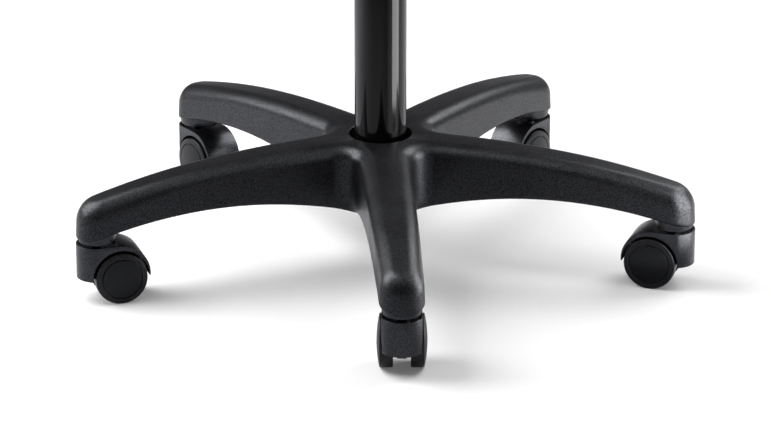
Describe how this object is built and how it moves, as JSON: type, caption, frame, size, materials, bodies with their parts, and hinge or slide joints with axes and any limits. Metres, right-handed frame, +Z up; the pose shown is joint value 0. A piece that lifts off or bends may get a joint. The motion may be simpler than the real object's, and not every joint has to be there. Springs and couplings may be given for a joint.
{
  "type": "swivel stool base",
  "caption": "Star base for a swivel stool: arched black nylon arms on hooded castors, with a gas-lift column that raises and turns the seat.",
  "frame": {"origin": "on the floor, straight under the column's axis", "axes": "+Z up along the column, -Y out along the front arm, +X to the right seen from the front"},
  "size_m": [0.5896, 0.5626, 0.3967],
  "materials": {
    "star": "dark grey-black glass-filled nylon, fine moulded grain, satin",
    "collar": "black nylon, smooth satin",
    "castor_body": "black nylon, smooth satin",
    "wheel": "dark grey nylon, matte",
    "tread": "dark grey tread, matte and dusty",
    "black_paint": "gloss black",
    "steel": "zinc-plated",
    "spring_steel": "plain spring steel",
    "bearing_steel": "ground bearing steel, oiled",
    "chrome": "polished hard chrome",
    "aluminium": "turned",
    "brass": "turned",
    "rubber": "black, matte",
    "bush": "black acetal, smooth"
  },
  "bodies": {
    "base": {"star_base": "star", "hub_ring": "steel", "socket_collars": "collar", "castor_stems": "steel", "stem_grip_rings": "spring_steel", "stem_clips": "spring_steel", "column_tube": "black_paint", "foot_plate": "steel", "guide_bush": "bush", "lower_race": "bearing_steel"},
    "lift_rod": {"bearing_balls": "bearing_steel", "ball_cage": "brass", "upper_race": "bearing_steel", "piston_rod": "chrome", "piston": "aluminium", "piston_seal": "rubber", "rubber_bumper": "rubber", "rod_washer": "steel", "rod_clip": "spring_steel"},
    "lift_cylinder": {"pressure_cylinder": "black_paint", "inner_cylinder": "steel", "rod_guide": "bush", "rod_seal": "rubber", "valve_body": "brass"},
    "release": {"release_pin": "steel"},
    "front_castor": {"front_castor_body": "castor_body", "front_castor_axle": "steel"},
    "front_left_wheel": {"front_left_wheel": "wheel", "front_left_tyre": "tread"},
    "front_right_wheel": {"front_right_wheel": "wheel", "front_right_tyre": "tread"},
    "right_castor": {"right_castor_body": "castor_body", "right_castor_axle": "steel"},
    "right_left_wheel": {"right_left_wheel": "wheel", "right_left_tyre": "tread"},
    "right_right_wheel": {"right_right_wheel": "wheel", "right_right_tyre": "tread"},
    "rear_right_castor": {"rear_right_castor_body": "castor_body", "rear_right_castor_axle": "steel"},
    "rear_right_left_wheel": {"rear_right_left_wheel": "wheel", "rear_right_left_tyre": "tread"},
    "rear_right_right_wheel": {"rear_right_right_wheel": "wheel", "rear_right_right_tyre": "tread"},
    "rear_left_castor": {"rear_left_castor_body": "castor_body", "rear_left_castor_axle": "steel"},
    "rear_left_left_wheel": {"rear_left_left_wheel": "wheel", "rear_left_left_tyre": "tread"},
    "rear_left_right_wheel": {"rear_left_right_wheel": "wheel", "rear_left_right_tyre": "tread"},
    "left_castor": {"left_castor_body": "castor_body", "left_castor_axle": "steel"},
    "left_left_wheel": {"left_left_wheel": "wheel", "left_left_tyre": "tread"},
    "left_right_wheel": {"left_right_wheel": "wheel", "left_right_tyre": "tread"}
  },
  "joints": [
    {"name": "column_swivel", "type": "hinge", "parent": "base", "child": "lift_rod", "pos_m": [0, 0, 0.0518], "axis": [0, 0, 1], "continuous": true},
    {"name": "height_slide", "type": "slide", "parent": "lift_rod", "child": "lift_cylinder", "axis": [0, 0, 1], "range_m": [0, 0.2]},
    {"name": "release_press", "type": "slide", "parent": "lift_cylinder", "child": "release", "axis": [0, 0, -1], "range_m": [0, 0.0035], "stiffness_N_per_m": 1500, "springref_m": -0.002},
    {"name": "front_castor_swivel", "type": "hinge", "parent": "base", "child": "front_castor", "pos_m": [0, -0.2889, 0.0592], "axis": [0, 0, 1], "continuous": true},
    {"name": "front_left_wheel_roll", "type": "hinge", "parent": "front_castor", "child": "front_left_wheel", "pos_m": [0.00141, -0.27015, 0.025], "axis": [-0.9972, 0.075, 0], "continuous": true},
    {"name": "front_right_wheel_roll", "type": "hinge", "parent": "front_castor", "child": "front_right_wheel", "pos_m": [0.00141, -0.27015, 0.025], "axis": [-0.9972, 0.075, 0], "continuous": true},
    {"name": "right_castor_swivel", "type": "hinge", "parent": "base", "child": "right_castor", "pos_m": [0.27476, -0.08927, 0.0592], "axis": [0, 0, 1], "continuous": true},
    {"name": "right_left_wheel_roll", "type": "hinge", "parent": "right_castor", "child": "right_left_wheel", "pos_m": [0.25737, -0.08214, 0.025], "axis": [-0.3795, -0.9252, 0], "continuous": true},
    {"name": "right_right_wheel_roll", "type": "hinge", "parent": "right_castor", "child": "right_right_wheel", "pos_m": [0.25737, -0.08214, 0.025], "axis": [-0.3795, -0.9252, 0], "continuous": true},
    {"name": "rear_right_castor_swivel", "type": "hinge", "parent": "base", "child": "rear_right_castor", "pos_m": [0.16981, 0.23372, 0.0592], "axis": [0, 0, 1], "continuous": true},
    {"name": "rear_right_left_wheel_roll", "type": "hinge", "parent": "rear_right_castor", "child": "rear_right_left_wheel", "pos_m": [0.15765, 0.21939, 0.025], "axis": [0.7627, -0.6468, 0], "continuous": true},
    {"name": "rear_right_right_wheel_roll", "type": "hinge", "parent": "rear_right_castor", "child": "rear_right_right_wheel", "pos_m": [0.15765, 0.21939, 0.025], "axis": [0.7627, -0.6468, 0], "continuous": true},
    {"name": "rear_left_castor_swivel", "type": "hinge", "parent": "base", "child": "rear_left_castor", "pos_m": [-0.16981, 0.23372, 0.0592], "axis": [0, 0, 1], "continuous": true},
    {"name": "rear_left_left_wheel_roll", "type": "hinge", "parent": "rear_left_castor", "child": "rear_left_left_wheel", "pos_m": [-0.15993, 0.21773, 0.025], "axis": [0.8508, 0.5255, 0], "continuous": true},
    {"name": "rear_left_right_wheel_roll", "type": "hinge", "parent": "rear_left_castor", "child": "rear_left_right_wheel", "pos_m": [-0.15993, 0.21773, 0.025], "axis": [0.8508, 0.5255, 0], "continuous": true},
    {"name": "left_castor_swivel", "type": "hinge", "parent": "base", "child": "left_castor", "pos_m": [-0.27476, -0.08927, 0.0592], "axis": [0, 0, 1], "continuous": true},
    {"name": "left_left_wheel_roll", "type": "hinge", "parent": "left_castor", "child": "left_left_wheel", "pos_m": [-0.25649, -0.08482, 0.025], "axis": [-0.2368, 0.9715, 0], "continuous": true},
    {"name": "left_right_wheel_roll", "type": "hinge", "parent": "left_castor", "child": "left_right_wheel", "pos_m": [-0.25649, -0.08482, 0.025], "axis": [-0.2368, 0.9715, 0], "continuous": true}
  ]
}
